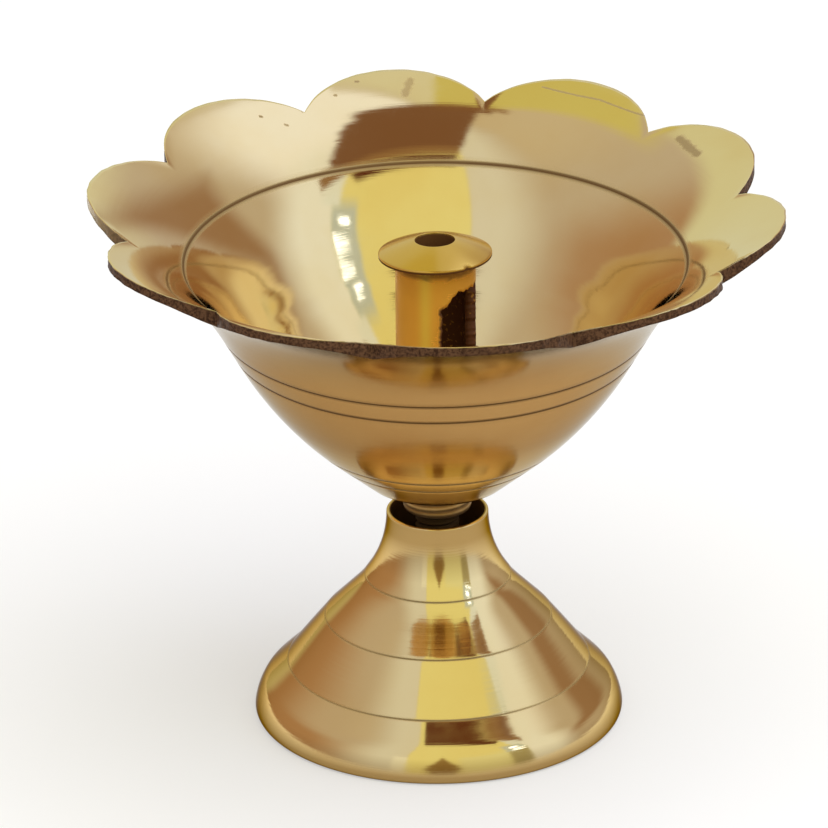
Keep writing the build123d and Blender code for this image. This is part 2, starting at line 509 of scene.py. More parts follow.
def banded(points, shape):
    # each band between the lines was turned by itself, so its lean is a few degrees off the cone's;
    # the radius takes up the difference from the top band down, less a straight line that closes it
    heights = np.array(shape["bandHeights"])
    level = np.linspace(heights[-1], heights[0], 600)
    lean = np.radians(shape["lean"] + np.interp(level, heights, shape["bandTilts"]))
    growth = np.cumsum((np.tan(lean) - np.tan(np.radians(shape["lean"]))) * -np.gradient(level))
    growth -= growth[-1] * np.linspace(0, 1, len(level))
    fine = evenRun(np.array(points, float), 0.03)
    outside = np.arange(len(fine)) < np.argmax(fine[:, 1])
    shift = np.interp(fine[:, 1], level[::-1], growth[::-1], left=0, right=0) * outside
    return fine + np.stack([shift, 0 * shift], -1)


def footSection(shape):
    lean = shape["lean"]
    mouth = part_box("foot")[1].z / mm
    edge = (shape["radius"] - shape["edgeRound"], shape["edgeHeight"])
    innerRound = shape["edgeRound"] - shape["wall"]
    coneFoot = polar(edge, shape["edgeRound"], lean)
    neckCentreRadius = shape["neckRadius"] + shape["neckRound"]
    neckStart = neckCentreRadius - shape["neckRound"] * np.cos(np.radians(lean))
    neckStartHeight = coneFoot[1] + (coneFoot[0] - neckStart) / np.tan(np.radians(lean))
    neck = (neckCentreRadius, neckStartHeight + shape["neckRound"] * np.sin(np.radians(lean)))
    webTop = mouth - shape["mouthDepth"]
    webBottom = webTop - shape["web"]
    innerFoot = polar(edge, innerRound, lean)
    innerTop = (innerFoot[0] - (webBottom - innerFoot[1]) * np.tan(np.radians(lean)), webBottom)
    # the cone ends in an arc tangent to it, which runs into a small round at the standing ring
    low = shape["edgeLow"]
    coneNormal, lowNormal = polar((0, 0), 1, lean), polar((0, 0), 1, low)
    standCentre = np.array([shape["radius"] - shape["standRound"], shape["standRound"]])
    arcEnd = polar(standCentre, shape["standRound"], low)
    arcRound = coneNormal @ (coneFoot - arcEnd) / (1 - coneNormal @ lowNormal)
    arcCentre = arcEnd - arcRound * lowNormal
    standInner = -np.degrees(np.arcsin(shape["edgeHeight"] / innerRound))
    outer = np.concatenate([
        arcRun(standCentre, shape["standRound"], -90, low, 20),
        arcRun(arcCentre, arcRound, low, lean),
        arcRun(neck, shape["neckRound"], 180 + lean, 180),
        [(shape["neckRadius"], mouth), (shape["mouthRadius"], mouth), (shape["mouthRadius"], webTop)],
        [(shape["holeRadius"], webTop), (shape["holeRadius"], webBottom), innerTop],
        arcRun(edge, innerRound, lean, standInner),
        [polar(standCentre, shape["standRound"], -90)],
    ])
    outer = banded(outer, shape)
    outside = outer[:np.argmax(outer[:, 1])]
    lines = [outside[np.argmin(np.abs(outside[:, 1] - h))] for h in shape["lineHeights"]]
    return turnedSection(outer, shape["rows"], shape["cornerRound"], lines, *shape["lineCut"])


def footMarks(section, shape):
    # painted shade: faces that look level or down are painted darker, and so is a thin line at the standing
    # edge; the left flank is tinted browner as a painted reflection; the lines are painted fainter towards
    # both flanks; the mouth and the inside are painted dark as shade
    radius, height, cut = section
    top = np.argmax(height)
    rise = np.degrees(np.arctan2(-np.gradient(radius), np.gradient(height)))
    # painted shade: the more a face looks level or down, the more of the shade colour
    levelShade = np.clip((shape["shadeFrom"] - rise) / (shape["shadeFrom"] - shape["shadeTo"]), 0, 1)
    levelShade = np.where(np.arange(len(radius)) <= top, levelShade, 1)
    inside = (np.arange(len(radius)) > top + 2) * shape["insideDark"]
    columns = shape["columns"]
    angle = fullTurn(columns)
    # painted reflection: the left flank is tinted browner
    toFlank = np.cos(angle) - shape["flankCosine"]
    flank = shape["flankShare"] * np.clip(0.5 - shape["flankSteep"] * toFlank, 0, 1)
    # painted sheen: the lines are painted fainter towards the left and right flanks
    sideSheen = shape["lineSideSheen"] * np.abs(np.cos(angle))
    lineShow = shape["lineDark"] * np.clip(shape["lineFull"] - sideSheen, 0, 1)
    # painted shade: the inside, and a contact shadow along the standing edge
    paintedShade = np.maximum(inside, np.clip(1 - height / shape["standShade"], 0, 1))
    return {
        "shaded": spread(levelShade, columns),
        "flankReflection": (1 - levelShade)[:, None] * flank,
        "tarnish": np.maximum(cut[:, None] * lineShow, paintedShade[:, None]),
    }


footRows = footSection(footShape)
foot = turnedMesh("foot_bell", footRows, footShape["columns"], footMarks(footRows, footShape))
dress(foot, "foot", "foot", footBrass)


# Bowl: turned below, with a lip cut into petals by hand

bowlShape = {
    "floorRadius": 9.5,
    "floor": 2.0,
    "wall": 1.2,
    "coneAngle": 40.3,
    "coneLength": 7.4,
    "bellyRound": 53.0,
    "wallAngle": 60.8,
    "wallLength": 5.9,
    "flareRound": 31.5,
    "holeRadius": 3.05,
    "tipRadius": 47.6,
    "notchRadius": 41.9,
    "firstNotch": 9.0,
    "notchOffsets": (2.0, 0.5, -0.7, -1.9, -2.5, -0.2, 0.8, -2.6, -1.3, 1.1),
    "turnedRadius": 39.8,
    "lineRises": (4.3, 6.5, 20.5, 23.55),
    "outerLineCut": (0.36, 0.04),
    "innerLineRadius": 34.0,
    "innerLineCut": (0.62, 0.008),
    "lineDark": 1.5,
    "cornerRound": 0.10,
    "outerRows": 82,
    "innerRows": 83,
    "sawWobble": 0.10,
    "wobbleFront": (0.6, 0.5, 0.3),
    "edgeRough": 0.09,
    "edgeCrown": 0.06,
    "columnsPerPetal": 50,
    "burrWidth": 4.2,
    "burrDown": 0.6,
    "burrUp": 0.28,
    "burrReach": 1.6,
    "burrFront": (0.75, 0.5, 0.35),
    "burrWobble": 0.06,
    "burrRaw": 1.8,
    "burrRawFrom": 0.35,
    "polishedAt": 172.0,
    "polishedSpan": 14.0,
    "polishedShare": 0.75,
    "ringRise": 1.6,
    "ringFade": 0.3,
    "ringHighlight": 0.7,
    "lowRise": 13.0,
    "lowFade": 6.0,
    "lowHighlight": 0.5,
    "chatterDepth": 0.0065,
    "chatterAt": 22.98,
    "chatterStep": 4.14,
    "chatterReach": 3.4,
    "dentAt": 16.2,
    "dentSlope": 0.028,
    "dentReach": 1.1,
}


def frontShare(angle, middle, swing, least):
    # how much of a flaw shows: most at the front and least at the back, where the saw ran truer
    return np.clip(middle - swing * np.sin(angle), least, 1)


def petalRim(shape):
    # angle and radius of every column: each petal is an arc through its two notches and its tip
    count = len(shape["notchOffsets"])
    notch = np.radians(shape["firstNotch"] + 360 / count * np.arange(count) + np.array(shape["notchOffsets"]))
    nextNotch = np.append(notch[1:], notch[0] + 2 * np.pi)
    columns = shape["columnsPerPetal"]
    share = 0.5 - 0.5 * np.cos(np.pi * np.arange(columns) / columns)
    share = 0.5 * share + 0.5 * np.arange(columns) / columns
    half = ((nextNotch - notch) / 2)[:, None]
    turn = half * (2 * share - 1)
    tip, low = shape["tipRadius"], shape["notchRadius"]
    centre = (tip**2 - low**2) / (2 * (tip - low * np.cos(half)))
    reach = tip - centre
    radius = centre * np.cos(turn) + np.sqrt(reach**2 - (centre * np.sin(turn)) ** 2)
    angle = (notch[:, None] + half + turn).ravel()
    toNotch = np.minimum(half + turn, half - turn).ravel()
    wobble = waver(angle, 11, (23, 37, 61, 88, 119), shape["sawWobble"])
    wobble = wobble * frontShare(angle, *shape["wobbleFront"])
    return angle, radius.ravel() + wobble - wobble.max(), toNotch


def chattered(points, shape):
    # marks of the turning tool: a wave a few thousandths of a millimetre deep, and one dent below it
    run = pathLength(points)
    fromWave = run - shape["chatterAt"]
    ripple = shape["chatterDepth"] * np.sin(2 * np.pi * fromWave / shape["chatterStep"])
    ripple *= np.exp(-(((fromWave + shape["chatterStep"] / 2) / shape["chatterReach"]) ** 4))
    fromDent = run - shape["dentAt"]
    ripple -= shape["dentSlope"] * fromDent * np.exp(-((fromDent / shape["dentReach"]) ** 2))
    return points + leftNormals(points) * ripple[:, None]


def bowlGrid(shape):
    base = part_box("bowl")[0].z / mm
    wall, cone, steep = shape["wall"], shape["coneAngle"], shape["wallAngle"]
    coneEnd = polar((shape["floorRadius"], base), shape["coneLength"], cone)
    belly = polar(coneEnd, shape["bellyRound"], cone + 90)
    bellyEnd = polar(belly, shape["bellyRound"], steep - 90)
    wallEnd = polar(bellyEnd, shape["wallLength"], steep)
    flare = polar(wallEnd, shape["flareRound"], steep - 90)

    def flareHeight(radius, inset):
        return flare[1] + np.sqrt((shape["flareRound"] + inset) ** 2 - (radius - flare[0]) ** 2)

    def flareAngle(radius, inset):
        return 180 - np.degrees(np.arccos((flare[0] - radius) / (shape["flareRound"] + inset)))

    def lowerFace(inset):
        # belly and the turned part of the flare, for the outer face or, moved in by the wall, the inner one
        turned = flareAngle(shape["turnedRadius"], inset)
        return np.concatenate([
            arcRun(belly, shape["bellyRound"] - inset, cone - 90, steep - 90),
            arcRun(flare, shape["flareRound"] + inset, steep + 90, turned),
        ])

    outer = lowerFace(0)
    inner = chattered(evenRun(lowerFace(wall), 0.05), shape)
    floorTop = base + shape["floor"]
    innerFloor = inner[0, 0] - (inner[0, 1] - floorTop) / np.tan(np.radians(cone))
    hole = shape["holeRadius"]
    outerRun = np.concatenate([[(hole, base), (shape["floorRadius"], base)], outer])
    innerRun = np.concatenate([inner[::-1], [(innerFloor, floorTop), (hole, floorTop), (hole, base)]])
    fine = evenRun(outerRun, 0.02)
    outerLines = [fine[np.argmin(np.abs(fine[:, 1] - base - rise))] for rise in shape["lineRises"]]
    innerLine = (shape["innerLineRadius"], flareHeight(shape["innerLineRadius"], wall))
    corner = shape["cornerRound"]
    outerRows = turnedSection(outerRun, shape["outerRows"], corner, outerLines, *shape["outerLineCut"])
    innerRows = turnedSection(innerRun, shape["innerRows"], corner, [innerLine], *shape["innerLineCut"])

    angle, rim, toNotch = petalRim(shape)
    share = np.linspace(0, 1, 15)[1:, None] ** 0.8
    petal = shape["turnedRadius"] + (rim - shape["turnedRadius"]) * share
    across = np.linspace(0, 1, 8)[1:-1, None]
    rough = waver(angle, 5, np.arange(40, 230, 9), 1) * np.cos(4 * across)
    rough = rough + waver(angle, 6, np.arange(60, 240, 7), 1) * np.sin(5 * across)
    edgeRadius = rim + shape["edgeRough"] * (rough - 0.6) - shape["edgeCrown"] * (2 * across - 1) ** 2
    # a saw burr thickens the edge at each notch, more below than above, and dies out towards the bowl
    burr = np.exp(-((toNotch * rim / shape["burrWidth"]) ** 2)) * frontShare(angle, *shape["burrFront"])
    burr = burr + waver(angle, 8, np.arange(20, 120, 9), shape["burrWobble"])
    nearEdge = np.clip(1 - (rim - petal) / shape["burrReach"], 0, 1) ** 2
    edgeHeight = (flareHeight(rim, 0) - shape["burrDown"] * burr) * (1 - across)
    edgeHeight = edgeHeight + (flareHeight(rim, wall) + shape["burrUp"] * burr) * across
    petalHeight = flareHeight(petal, 0) - shape["burrDown"] * burr * nearEdge
    petalTop = flareHeight(petal, wall) + shape["burrUp"] * burr * nearEdge

    # the rows in order: outer face, petals from below, sawn edge, petals from above, inner face
    outerGrid = np.repeat(np.array(outerRows)[:, :, None], len(angle), 2)
    innerGrid = np.repeat(np.array(innerRows)[:, :-1, None], len(angle), 2)
    flat = np.zeros_like(petal)
    radius = np.concatenate([outerGrid[0], petal, edgeRadius, petal[::-1], innerGrid[0]])
    height = np.concatenate([outerGrid[1], petalHeight, edgeHeight, petalTop[::-1], innerGrid[1]])
    lines = np.concatenate([outerGrid[2], flat, np.zeros_like(edgeRadius), flat, innerGrid[2]])
    # raw metal: the sawn edge, the burr under it, and less of it on the left, where the edge was polished
    outerCount = len(outerRows[0]) + len(petal)
    edgeCount = len(across)
    polished = np.exp(-(((np.degrees(angle) - shape["polishedAt"]) / shape["polishedSpan"]) ** 2))
    raw = np.zeros_like(radius)
    rawBurr = shape["burrRaw"] * nearEdge * burr - shape["burrRawFrom"]
    raw[len(outerRows[0]):outerCount] = np.clip(rawBurr, 0, 1)
    raw[outerCount - 1:outerCount + edgeCount] = 1 - shape["polishedShare"] * polished
    # painted highlight: the metal is painted paler towards the bottom and on the ring there
    ring = shape["ringHighlight"] * np.clip((base + shape["ringRise"] - height) / shape["ringFade"], 0, 1)
    low = shape["lowHighlight"] * np.clip((base + shape["lowRise"] - height) / shape["lowFade"], 0, 1)
    bottomHighlight = np.maximum(ring, low)
    bottomHighlight[outerCount:] = 0
    return radius, height, angle, np.clip(shape["lineDark"] * lines, 0, 1), raw, bottomHighlight, outerCount


bowlRadius, bowlHeight, bowlAngle, bowlLines, bowlRaw, bowlBottomHighlight, bowlOuterRows = bowlGrid(bowlShape)
bowl = gridMesh("bowl_petals", *plan(bowlRadius, bowlAngle), bowlHeight,
                {"tarnish": np.maximum(bowlLines, bowlRaw), "raw": bowlRaw, "shaded": bowlBottomHighlight})
dress(bowl, "bowl", "bowl", bowlBrass)
# the outer rows take the darker copy of the brass, as painted shade
bowl.data.materials.append(bowlOuterShadeBrass)
bowlFaceRow = np.arange(len(bowl.data.polygons)) // len(bowlAngle)
bowl.data.polygons.foreach_set("material_index", (bowlFaceRow < bowlOuterRows - 1).astype(np.int32))


# Threaded pieces: a ridge that climbs by one pitch each turn

def threadDip(angle, height, pitch, flat):
    # 0 on the crest and 1 in the root: a triangle wave of the climb, cut off flat on the crest
    phase = (height / pitch - angle / (2 * np.pi)) % 1
    return np.clip((1 - np.abs(2 * phase - 1)) / (1 - flat) - flat / (1 - flat), 0, 1)


studShape = {
    "radius": 3.0,
    "chamfer": 0.5,
    "pitch": 1.0,
    "depth": 0.5,
    "flat": 0.2,
    "paintedShade": 0.93,
    "rootDirt": 0.8,
    "columns": 56,
    "rowStep": 0.11,
}


def studGrid(shape):
    low, high = (corner.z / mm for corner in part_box("tie_stud"))
    height = np.linspace(low, high, int((high - low) / shape["rowStep"]))[:, None]
    angle = fullTurn(shape["columns"])
    dip = threadDip(angle, height, shape["pitch"], shape["flat"])
    ends = shape["radius"] - shape["chamfer"] + np.minimum(height - low, high - height)
    radius = np.minimum(shape["radius"] - shape["depth"] * dip, ends)
    point = np.zeros((1, shape["columns"]))
    radius = np.concatenate([point, radius, point])
    height = np.concatenate([point + low, np.repeat(height, shape["columns"], 1), point + high])
    # painted shade: the stud is painted dark below the collar, inside the neck
    paintedShade = shape["paintedShade"] * (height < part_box("bowl_collar")[0].z / mm)
    dirtAndShade = np.maximum(shape["rootDirt"] * np.concatenate([point, dip, point]), paintedShade)
    return *plan(radius, angle), height, dirtAndShade


stud = studGrid(studShape)
dress(gridMesh("tie_stud_thread", *stud[:3], {"tarnish": stud[3]}, ringRows=False, capped=True),
      "tie_stud", "foot", threadBrass)

collarShape = {
    "radius": 4.65,
    "hole": 3.05,
    "round": 0.7,
    "pitch": 1.0,
    "depth": 0.24,
    "flat": 0.35,
    "dirtAndShade": 0.30,
    "rootDirt": 0.6,
    "underShade": 0.9,
    "cornerRound": 0.06,
    "rows": 150,
    "columns": 96,
}


def collarGrid(shape):
    low, high = (corner.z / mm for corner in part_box("bowl_collar"))
    corner = (shape["radius"] - shape["round"], low + shape["round"])
    section = np.concatenate([
        [(shape["hole"], high), (shape["hole"], low)],
        arcRun(corner, shape["round"], -90, 0, 12),
        [(shape["radius"], high), (shape["hole"], high)],
    ])
    radius, height, _ = turnedSection(section, shape["rows"], shape["cornerRound"])
    angle = fullTurn(shape["columns"])
    outside = (radius > shape["radius"] - 0.02)[:, None]
    fromEnds = np.clip(np.minimum(height - corner[1], high - height) / 0.3, 0, 1)[:, None]
    dip = threadDip(angle, height[:, None], shape["pitch"], shape["flat"]) * outside * fromEnds
    radius = radius[:, None] - shape["depth"] * dip
    height = spread(height, shape["columns"])
    # painted shade under the collar's rounded bottom
    under = np.clip((corner[1] + 0.4 - height) / 0.5, 0, 1)
    dirtAndShade = np.maximum(shape["dirtAndShade"] + shape["rootDirt"] * dip, shape["underShade"] * under)
    return *plan(radius, angle), height, dirtAndShade


collar = collarGrid(collarShape)
dress(gridMesh("bowl_collar_ridged", *collar[:3], {"tarnish": collar[3]}),
      "bowl_collar", "foot", threadBrass)

nutShape = {"flats": 10.0, "hole": 3.05, "chamferShare": 0.97, "chamferSlope": 0.577, "columnsPerSide": 16}


def nutGrid(node, shape):
    # a hexagon whose corners are turned off by a shallow cone above and below
    low, high = (corner.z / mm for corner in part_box(node))
    angle = fullTurn(6 * shape["columnsPerSide"])
    side = shape["flats"] / 2 / np.cos((angle + np.pi / 6) % (np.pi / 3) - np.pi / 6)
    turnedFrom = shape["chamferShare"] * shape["flats"] / 2
    face = shape["hole"] + np.array([0, 0.03, 0.3, 0.6, 0.8, 0.9, 0.96, 1])[:, None] * (side - shape["hole"])
    drop = np.maximum(0, face - turnedFrom) * shape["chamferSlope"]
    share = np.array([0.04, 0.2, 0.5, 0.8, 0.96])[:, None]
    flank = np.repeat(side[None], len(share), 0)
    flankHeight = low + drop[-1] + (high - low - 2 * drop[-1]) * share
    radius = np.concatenate([face, flank, face[::-1]])
    height = np.concatenate([low + drop, flankHeight, high - drop[::-1]])
    return *plan(radius, angle), height


for nutNode in ("neck_nut", "foot_nut"):
    nut = gridMesh(nutNode + "_hex", *nutGrid(nutNode, nutShape))
    dress(nut, nutNode, "foot", threadBrass)


washerShape = {"radius": 6.0, "hole": 3.05, "cornerRound": 0.14, "rows": 40, "columns": 96}
sealShape = {"radius": 5.2, "hole": 3.05, "cornerRound": 0.14, "rows": 48, "columns": 128}


def ringMesh(name, node, shape):
    low, high = (corner.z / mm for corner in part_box(node))
    radius, hole = shape["radius"], shape["hole"]
    section = [(hole, low), (radius, low), (radius, high), (hole, high), (hole, low)]
    return turnedMesh(name, turnedSection(section, shape["rows"], shape["cornerRound"]), shape["columns"])


washer = ringMesh("foot_washer_ring", "foot_washer", washerShape)
dress(washer, "foot_washer", "foot", threadBrass)
seal = ringMesh("seal_washer_ring", "seal_washer", sealShape)
dress(seal, "seal_washer", "seal", sealFibre)


# Wick tube with a rough window cut in its side

tubeShape = {
    "radius": 5.45,
    "bore": 4.0,
    "hole": 3.05,
    "footHeight": 8.5,
    "windowFirst": -82.0,
    "windowSpan": 90.0,
    "sill": 1.5,
    "windowHeight": 16.3,
    "cornerDrop": 2.3,
    "cornerSpan": 25.0,
    "jag": 0.20,
    "capShadow": 1.2,
    "capShadowDark": 0.66,
    "capShadowFade": 0.25,
    "stainFrom": 1.3,
    "stainWidth": 0.5,
    "footRound": 0.15,
    "footSteps": (0.15, 2.0, 5.0, 8.2),
    "rimRound": 0.12,
    "boreRound": 0.1,
    "jagReach": 3.0,
    "highlightAngle": -105.5,
    "highlightWidth": 9.0,
    "columns": 192,
    "windowRows": 72,
}


def tubeMesh(shape):
    low, high = (corner.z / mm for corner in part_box("wick_tube"))
    columns = shape["columns"]
    floor = low + shape["footHeight"]
    sill, head = floor + shape["sill"], floor + shape["sill"] + shape["windowHeight"]
    first = np.radians(shape["windowFirst"])
    angle = first + fullTurn(columns)
    right = int(round(columns * shape["windowSpan"] / 360))

    # the lattice of the wall: rows between the window's lower and upper edge follow those edges
    fromFirst = np.degrees(angle - first)
    inWindow = (np.arange(columns) <= right)
    corner = np.clip(1 - fromFirst / shape["cornerSpan"], 0, 1)
    drop = shape["cornerDrop"] * corner**2 * (3 - 2 * corner)
    behind = np.clip((360 - fromFirst) / 40, 0, 1)
    drop = np.where(inWindow, drop, shape["cornerDrop"] * (1 - behind) ** 2 * (1 + 2 * behind))
    headLine = head - drop + waver(angle, 21, (17, 29, 47, 70), shape["jag"]) * inWindow
    sillLine = sill + waver(angle, 22, (19, 31, 53), shape["jag"]) * inWindow
    share = np.linspace(0, 1, shape["windowRows"] + 1)[:, None]
    rise = np.concatenate([
        np.linspace(0, 1, 6)[:-1, None] * (sillLine - floor) + floor,
        sillLine + share * (headLine - sillLine),
        headLine + np.linspace(0, 1, 10)[1:, None] * (high - headLine),
    ])
    windowFrom, windowTo = 5, 5 + shape["windowRows"]

    # both upright edges are jagged too; columns beside them move less and less
    column = np.arange(columns)
    near = np.exp(-(np.minimum(column, columns - column) / shape["jagReach"]) ** 2)
    nearRight = np.exp(-((column - right) / shape["jagReach"]) ** 2)
    wave = 2 * np.pi * share[:, 0]
    jags = [waver(wave, seed, (3, 5, 8, 13, 21), shape["jag"] / shape["radius"]) for seed in (23, 24)]
    bend = np.zeros_like(rise)
    bend[windowFrom:windowTo + 1] = jags[0][:, None] * near + jags[1][:, None] * nearRight
    turn = angle + bend

    def rows(radius, turns, heights):
        return np.stack([*plan(radius, turns), heights], -1)

    def ring(radius, level):
        return rows(radius, angle, np.full(columns, level))

    rimRound, boreRound = shape["rimRound"], shape["boreRound"]
    below = [ring(shape["hole"], low), ring(shape["radius"] - shape["footRound"], low)]
    below += [ring(shape["radius"], low + step) for step in shape["footSteps"]]
    soft = [ring(shape["radius"] - rimRound, high), ring(shape["bore"] + boreRound, high)]
    outer = list(rows(shape["radius"], turn, rise))
    outer[-1] = ring(shape["radius"], high - rimRound)
    inner = list(rows(shape["bore"], turn, rise))[::-1]
    inner[0] = ring(shape["bore"], high - boreRound)
    after = [ring(shape["hole"], floor), ring(shape["hole"], low + boreRound)]
    points = np.concatenate([np.stack(part) for part in (below, outer, soft, inner, after)])
    count = len(points)
    outerStart = len(below)
    innerEnd = outerStart + len(outer) + len(soft) + len(inner) - 1

    index = np.arange(count * columns).reshape(count, -1)
    above = np.roll(index, -1, 0)
    quads = np.stack([index, np.roll(index, -1, 1), np.roll(above, -1, 1), above], -1)
    keep = np.ones(index.shape, bool)
    keep[outerStart + windowFrom:outerStart + windowTo, :right] = False
    keep[innerEnd - windowTo:innerEnd - windowFrom, :right] = False
    outerWall = index[outerStart + windowFrom:outerStart + windowTo + 1]
    innerWall = index[innerEnd - windowTo:innerEnd - windowFrom + 1][::-1]

    def bridge(outside, inside, flip):
        strip = np.stack([outside[:-1], outside[1:], inside[1:], inside[:-1]], -1)
        return strip[:, ::-1] if flip else strip

    reveal = [
        bridge(outerWall[:, 0], innerWall[:, 0], True),
        bridge(outerWall[:, right], innerWall[:, right], False),
        bridge(outerWall[0, :right + 1], innerWall[0, :right + 1], False),
        bridge(outerWall[-1, :right + 1], innerWall[-1, :right + 1], True),
    ]
    allQuads = np.concatenate([quads[keep], *reveal])

    # painted shade all through the bore, a stain that creeps round the window's edge, and painted shadow on
    # the tube just under the cap
    stainAndShade = np.zeros(index.shape)
    stainAndShade[outerStart + len(outer):] = 1
    toEdge = np.minimum(np.minimum(fromFirst, 360 - fromFirst), np.abs(fromFirst - shape["windowSpan"]))
    beside = np.radians(toEdge) * shape["radius"]
    stain = np.clip(shape["stainFrom"] - beside / shape["stainWidth"], 0, 1) ** 2
    stainAndShade[outerStart + windowFrom:outerStart + windowTo + 1] = stain
    outside = slice(outerStart, outerStart + len(outer))
    # painted shadow: a dark band on the tube just under the cap
    intoCapShadow = (shape["capShadow"] - high + points[outside, :, 2]) / shape["capShadowFade"]
    capShadow = shape["capShadowDark"] * np.clip(intoCapShadow, 0, 1)
    stainAndShade[outside] = np.maximum(stainAndShade[outside], capShadow)
    # painted highlight: a bright streak painted up the front of the tube
    turned = (np.degrees(angle) - shape["highlightAngle"] + 180) % 360 - 180
    frontHighlight = np.repeat(np.exp(-((turned / shape["highlightWidth"]) ** 2))[None], count, 0)
    marks = {"tarnish": stainAndShade, "shaded": frontHighlight}
    return meshFrom("wick_tube_windowed", points.reshape(-1, 3), allQuads, marks)


dress(tubeMesh(tubeShape), "wick_tube", "wick_tube", tubeBrass)


# Wick cap: a low turned cone with the wick hole, and a nick in its edge

capShape = {
    "radius": 7.7,
    "edge": 0.5,
    "rise": 2.3,
    "swell": 0.15,
    "hole": 2.7,
    "spigot": 3.85,
    "spigotLength": 2.6,
    "nickAngle": -55.0,
    "nickWidth": 3.0,
    "nickDepth": 0.35,
    "leanBack": 3.0,
    "leanLeft": 1.0,
    "lift": 0.30,
    "hiddenShade": 0.95,
    "nickDark": 0.8,
    "cornerRound": 0.09,
    "rows": 120,
    "columns": 192,
}


def capGrid(shape):
    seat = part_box("wick_tube")[1].z / mm
    top = seat + shape["rise"]
    share = np.linspace(0, 1, 30)[:, None]
    crownEdge, crownTop = np.array([shape["radius"], seat + shape["edge"]]), np.array([shape["hole"], top])
    crown = (1 - share) * crownEdge + share * crownTop
    crown[:, 1] += 4 * shape["swell"] * (share * (1 - share))[:, 0]
    foot = seat - shape["spigotLength"]
    section = np.concatenate([
        [(shape["hole"], foot), (shape["spigot"], foot), (shape["spigot"], seat), (shape["radius"], seat)],
        crown,
        [(shape["hole"], foot)],
    ])
    radius, height, _ = turnedSection(section, shape["rows"], shape["cornerRound"])
    angle = fullTurn(shape["columns"])
    away = (np.degrees(angle) - shape["nickAngle"] + 180) % 360 - 180
    nick = np.exp(-((away / shape["nickWidth"]) ** 2))
    atEdge = np.clip((radius - shape["radius"] + 1.0) / 1.0, 0, 1) ** 2
    # painted shade: the hole's inner wall, the underside and the lowest part of the edge are painted dark
    inShade = (radius < shape["hole"] + 0.05) & (height < top - 0.2) | (height < seat + 0.3)
    radius = radius[:, None] - shape["nickDepth"] * nick * atEdge[:, None]
    height = spread(height, len(angle))
    stainAndShade = np.maximum(spread(shape["hiddenShade"] * inShade, len(angle)),
                      shape["nickDark"] * nick * atEdge[:, None])
    # it sits a little crooked, turned back and to the left about the middle of its spigot
    x, y = plan(radius, angle)
    rise = height - seat + shape["spigotLength"] / 2
    back, left = np.radians(shape["leanBack"]), np.radians(shape["leanLeft"])
    y, rise = y * np.cos(back) + rise * np.sin(back), rise * np.cos(back) - y * np.sin(back)
    x, rise = x * np.cos(left) - rise * np.sin(left), rise * np.cos(left) + x * np.sin(left)
    return x, y, rise + seat - shape["spigotLength"] / 2 + shape["lift"], stainAndShade


cap = capGrid(capShape)
dress(gridMesh("wick_cap_cone", *cap[:3], {"tarnish": cap[3]}),
      "wick_cap", "wick_cap", capBrass)


# Stage: pale floor, a studio that shows in the metal, and the camera at the photograph's angle

stageLook = {
    "floorRadius": 1.6,
    "floorTone": (0.92, 0.92, 0.93),
    "whiteShare": 0.45,
}


def paleFloor(look):
    material, start, shader = newMaterial("pale_floor")
    grain = start.node("TexCoord", out="Object").noise(30, 3)
    tone = grain.mix(look["floorTone"], [c * 0.985 for c in look["floorTone"]])
    start.feed(shader, {"Base Color": tone, "Roughness": 0.9, "Specular IOR Level": 0.0})
    # partly white by itself where the camera or the metal sees it, so that its shadow stays faint
    kinds = ("Is Camera Ray", "Is Glossy Ray", "Is Transmission Ray")
    camera, glossy, through = (start.node("LightPath", out=kind) for kind in kinds)
    seen = (camera + glossy + through).math("MINIMUM", 1.0) * look["whiteShare"]
    white = start.node("Emission", inputs={"Color": (1, 1, 1, 1), "Strength": 1.0})
    lit = Shade(start.tree, shader.outputs[0])
    both = start.node("MixShader", inputs={0: seen, 1: lit, 2: white})
    start.tree.links.new(both.socket, start.tree.nodes["Material Output"].inputs["Surface"])
    angle = fullTurn(96)
    reach = np.array([0, 0.1, 0.4, 1.0])[:, None] * look["floorRadius"] / mm
    floor = gridMesh("pale_floor", *plan(reach, angle), 0 * reach * angle, ringRows=False, capped=True)
    floor.data.materials.append(material)


# The studio is a white tent with one open side. Each panel is a stretch of turn (0 towards the camera, 90 to
# its right), a stretch of rise and a tone; a stretch is two ends in degrees and the widths of its soft edges.
studioTent = (0.55, 0.51, 0.51)
studioSides = {
    "leftLow": ((-147, -72, 9, 20), (-30, 29, 5, 14), (0.43, 0.285, 0.20)),
    "leftHigh": ((-150, -60, 14, 16), (56, 100, 14, 5), (0.61, 0.56, 0.50)),
    "leftNear": ((-54, -21, 18, 1), (-30, 100, 5, 5), (0.73, 0.77, 0.86)),
    "leftBright": ((-30, -10, 1.5, 4), (-30, 30, 5, 2), (0.86, 0.92, 1.0)),
    "backLeft": ((-230, -143, 5, 5), (-30, 100, 5, 5), (0.69, 0.73, 0.60)),
    "backYellow": ((-230, -128, 5, 6), (50, 100, 6, 5), (0.64, 0.62, 0.26)),
    "rightHigh": ((70, 158, 14, 8), (46, 100, 10, 5), (0.97, 1.07, 1.40)),
    "backRight": ((160, 230, 8, 5), (-30, 100, 5, 5), (0.72, 0.75, 0.68)),
}
